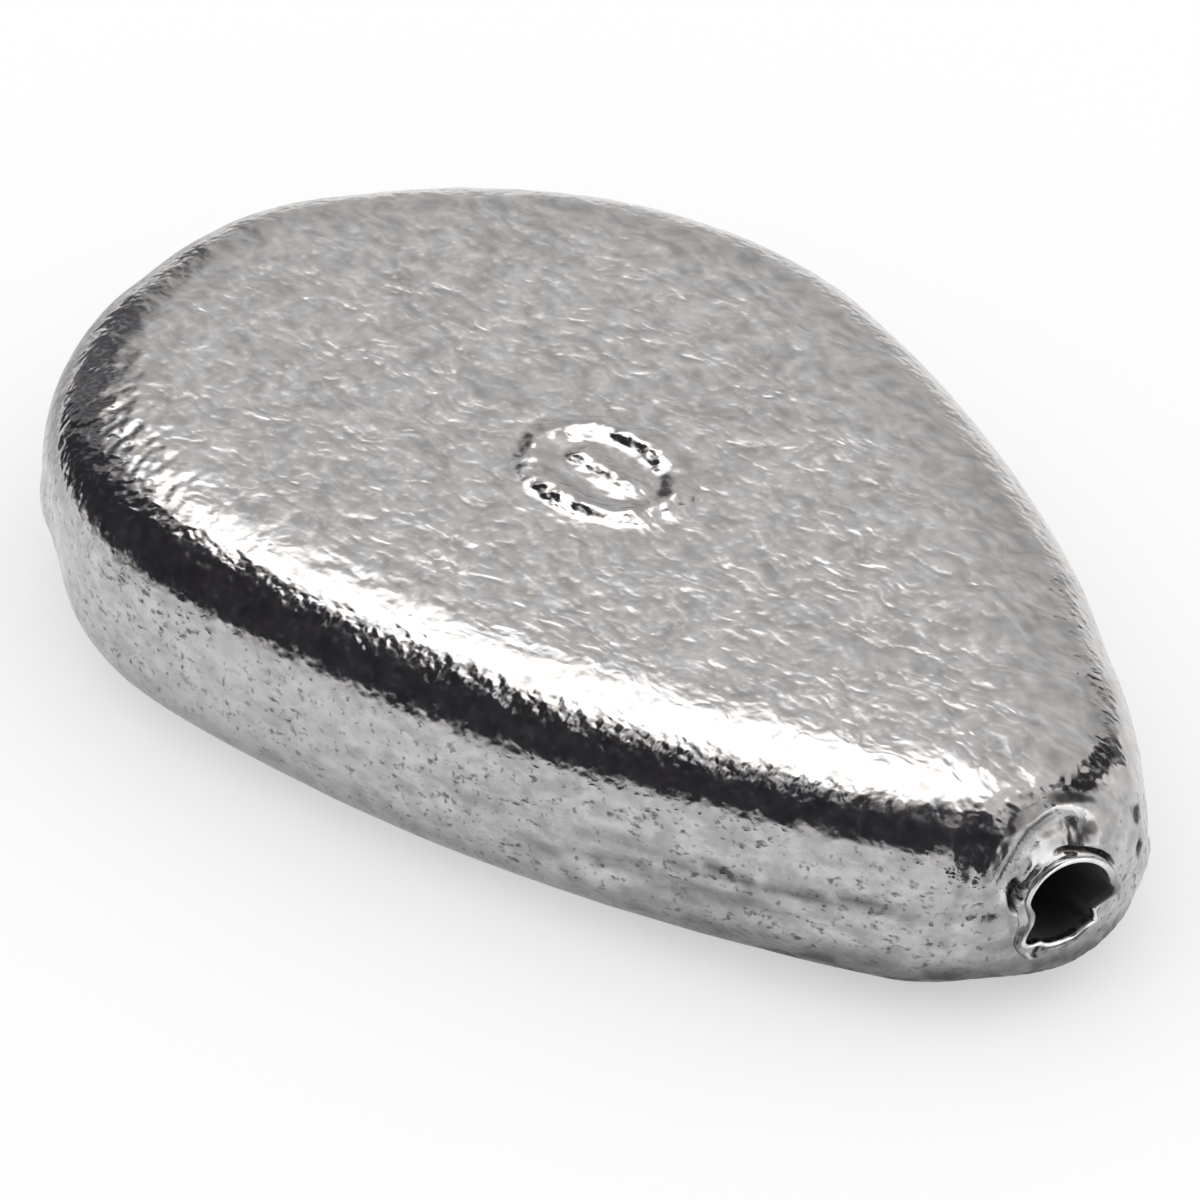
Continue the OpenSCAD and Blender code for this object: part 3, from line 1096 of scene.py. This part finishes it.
# The dark screen on the left: azimuth, and the elevations of its lower and its upper edge
DARK_SCREEN = (
    (-256, 62, 84), (-240, 56, 84), (-222, 42, 84), (-208, 14, 84), (-198, -8, 84), (-192, -14, 84),
    (-187, -7, 84), (-182, 9, 84), (-176, 34, 84), (-168, 42, 84), (-160, 33, 86), (-150, 26, 86),
    (-137, 26, 84), (-120, 22, 81), (-105, 18, 78), (-90, 13, 75), (-74, 5, 72), (-60, 1, 70),
    (-50, -3, 67), (-34, -5, 60), (-28, -5, 56),
)
SCREEN_LOW_EDGE, SCREEN_HIGH_EDGE = 16, 6
SCREEN_LEFT_EDGE = (-258, -248)
# The screen's right edge: elevation, and the azimuths between which it fades out
SCREEN_RIGHT_EDGE = ((24, -39, -26), (38, -39, -25), (46, -30, -23), (60, -28, -23))
# Azimuths above this one are counted on from the left
WRAP_ABOVE = 100
# The dim end of the screen beside the far wall: spans and brightness
DIM_AZIMUTH, DIM_ELEVATION, DIM = (-38, -13, 12), (-6, 31, 6), 0.15
# Dark stands on the right: azimuth, elevation, half sizes and darkness
STANDS = (
    (38, 13, 7, 15, 0.9), (39, 27, 9, 10, 1.0), (47, 36, 11, 10, 1.0),
    (53, 46, 11, 10, 1.0), (63, 47, 9, 7, 1.0), (52, 57, 9, 6, 0.8),
)
STAND_EDGE = (0.85, 1.1)
# The dark ceiling and the pale panel straight above: elevations over which each begins, and brightness
OVERHEAD = (((70, 76), 0.07), ((83, 87), 0.5))


def screen_share(azimuth, elevation):
    """How much of each direction the dark screen covers."""
    at, low, high = np.array(DARK_SCREEN, float).T
    low_half, high_half = SCREEN_LOW_EDGE / 2, SCREEN_HIGH_EDGE / 2
    over_low = smooth(-low_half, low_half, elevation - np.interp(azimuth, at, low))
    under_high = smooth(-high_half, high_half, np.interp(azimuth, at, high) - elevation)
    edge_at, dark_to, light_from = np.array(SCREEN_RIGHT_EDGE, float).T
    fade_w = np.interp(elevation, edge_at, light_from - dark_to)
    across = (azimuth - np.interp(elevation, edge_at, dark_to)) / fade_w
    return over_low * under_high * (1 - smooth(0, 1, across)) * smooth(*SCREEN_LEFT_EDGE, azimuth)


def studio_level(azimuth, elevation):
    """Brightness of the studio in each direction."""
    level = np.ones_like(azimuth)
    far_wall = np.interp(elevation, *np.array(FAR_WALL).T)
    level += soft(*FAR_WALL_AZIMUTH, azimuth) * soft(*FAR_WALL_ELEVATION, elevation) * (far_wall - level)
    left_end = np.interp(elevation, *np.array(LAMP_LEFT).T)
    right_end = np.interp(elevation, *np.array(LAMP_RIGHT).T)
    lamp = window(LAMP_FROM, LAMP_TO, elevation)
    lamp = lamp * soft(0, 1, LAMP_SOFT, (azimuth - left_end) / (right_end - left_end))
    level += lamp * (WHITE - level)
    for azimuth_span, elevation_span, added in PALE_WALLS:
        level += added * soft(*azimuth_span, azimuth) * soft(*elevation_span, elevation)
    azimuth = np.where(azimuth > WRAP_ABOVE, azimuth - 360, azimuth)
    screen = screen_share(azimuth, elevation)
    level += screen * (DARK - level)
    dim = soft(*DIM_AZIMUTH, azimuth) * soft(*DIM_ELEVATION, elevation)
    level += dim * (1 - screen) * (DIM - level)
    for at, up, half_w, half_h, share in STANDS:
        off = np.hypot((azimuth - at) / half_w, (elevation - up) / half_h)
        level += share * (1 - smooth(*STAND_EDGE, off)) * (DARK - level)
    for begins, brightness in OVERHEAD:
        level += smooth(*begins, elevation) * (brightness - level)
    return level


# The studio's dome: steps and lowest elevation in degrees, and radius in metres
DOME_STEP = 1.5
DOME_LOW = -10
DOME_R = 1.0
# Dark parts of the studio are a little cooler than white, up to this brightness
COOL_TINT, COOL_UP_TO = (0.92, 0.9, 1.08, 1), 0.4
PLAIN_WHITE = (1, 1, 1, 1)


def glow_material():
    """A plain glowing material, as bright as the mesh says."""
    material, n = new_material("soft_box")
    material.cycles.emission_sampling = "NONE"
    level = n.attribute("level")
    tint = n.mix(n.ramp(level, 0.0, COOL_UP_TO), COOL_TINT, PLAIN_WHITE)
    light = n.add("Emission", Color=tint, Strength=level)
    n.add("OutputMaterial", Surface=light.outputs[0])
    return material


def dome_mesh():
    """The dome, with the studio's brightness written on its points."""
    azimuths = np.arange(-180, 180, DOME_STEP)
    elevations = np.arange(DOME_LOW, 90, DOME_STEP)
    bm = bmesh.new()
    grid = [[bm.verts.new(middle + DOME_R * towards(a, e)) for a in azimuths] for e in elevations]
    top = bm.verts.new(middle + DOME_R * towards(0, 90))
    for low, high in zip(grid, grid[1:]):
        band(bm, low, high)
    highest = grid[-1]
    for a, b in zip(highest, highest[1:] + highest[:1]):
        bm.faces.new((a, b, top))
    mesh = mesh_of(bm, "soft_box")
    levels = studio_level(*(angles.ravel() for angles in np.meshgrid(azimuths, elevations)))
    straight_up = studio_level(np.zeros(1), np.full(1, 90.0))
    write_values(mesh, "level", np.append(levels, straight_up))
    return mesh


def add_soft_box():
    """The studio as a dome that only reflections see."""
    mesh = dome_mesh()
    mesh.materials.append(glow_material())
    dome = linked("soft_box", mesh)
    dome.visible_camera = dome.visible_diffuse = dome.visible_shadow = dome.visible_transmission = False


FLOOR_SIDE = 12
# The floor's own colour, the light it adds where it is looked at, and the same for reflections of it
FLOOR_GREY, FLOOR_GLOW = (0.5, 0.5, 0.5, 1), 0.5
MIRRORED_FLOOR, MIRRORED_GLOW = (0.85, 0.85, 0.85, 1), 0.25
BLACK = (0, 0, 0, 1)
# A grey patch of floor behind the rear end that only reflections see: middle and reach in metres, where it ends
# in that reach, and how much of the floor's brightness it keeps
PATCH_AT = (-0.060, -0.003, 0)
PATCH_REACH = (0.036, 0.022, 1)
PATCH_EDGE = (0.4, 1.25)
PATCH_LEVEL = 0.5


def floor_material():
    """A pale floor. Reflections see the grey patch, and more of the shadow under the object."""
    material, n = new_material("pale_floor")
    material.cycles.emission_sampling = "NONE"
    path = n.add("LightPath").outputs
    mirrored = path["Is Glossy Ray"]
    seen = n.maths("MAXIMUM", path["Is Camera Ray"], path["Is Transmission Ray"])
    off = n.vector("DIVIDE", n.vector("SUBTRACT", n.geometry("Position"), PATCH_AT), PATCH_REACH)
    open_floor = n.ramp(n.length(off), *PATCH_EDGE, PATCH_LEVEL, 1.0)
    colour = n.mix(mirrored, FLOOR_GREY, n.mix(open_floor, BLACK, MIRRORED_FLOOR))
    shade = n.add("BsdfDiffuse", Color=colour).outputs[0]
    glossy = n.times(mirrored, open_floor)
    glow = n.plus(n.times(seen, FLOOR_GLOW), n.times(glossy, MIRRORED_GLOW))
    light = n.add("Emission", Color=PLAIN_WHITE, Strength=glow).outputs[0]
    n.add("OutputMaterial", Surface=n.fill(n.add("AddShader"), shade, light))
    return material


def add_floor():
    material = floor_material()
    bpy.ops.mesh.primitive_plane_add(size=FLOOR_SIDE)
    floor = bpy.context.object
    floor.name = "floor"
    floor.data.materials.append(material)


def add_world():
    """Even white light from all round."""
    world = bpy.data.worlds.new("studio")
    bpy.context.scene.world = world
    n = Nodes(world)
    world.cycles.sampling_method = "NONE"
    sky = n.add("Background", Color=PLAIN_WHITE, Strength=1.0)
    n.add("OutputWorld", Surface=sky.outputs[0])


add_camera()
add_soft_box()
add_floor()
add_world()
piece("lead_casting", bored(casting()), "lead_body", lead_material(), painted_shade_lead)
piece("line_tube_lining", tube_mesh(), "line_tube", tube_material(), painted_shade_tube)

bpy.context.scene.view_settings.view_transform = "Standard"
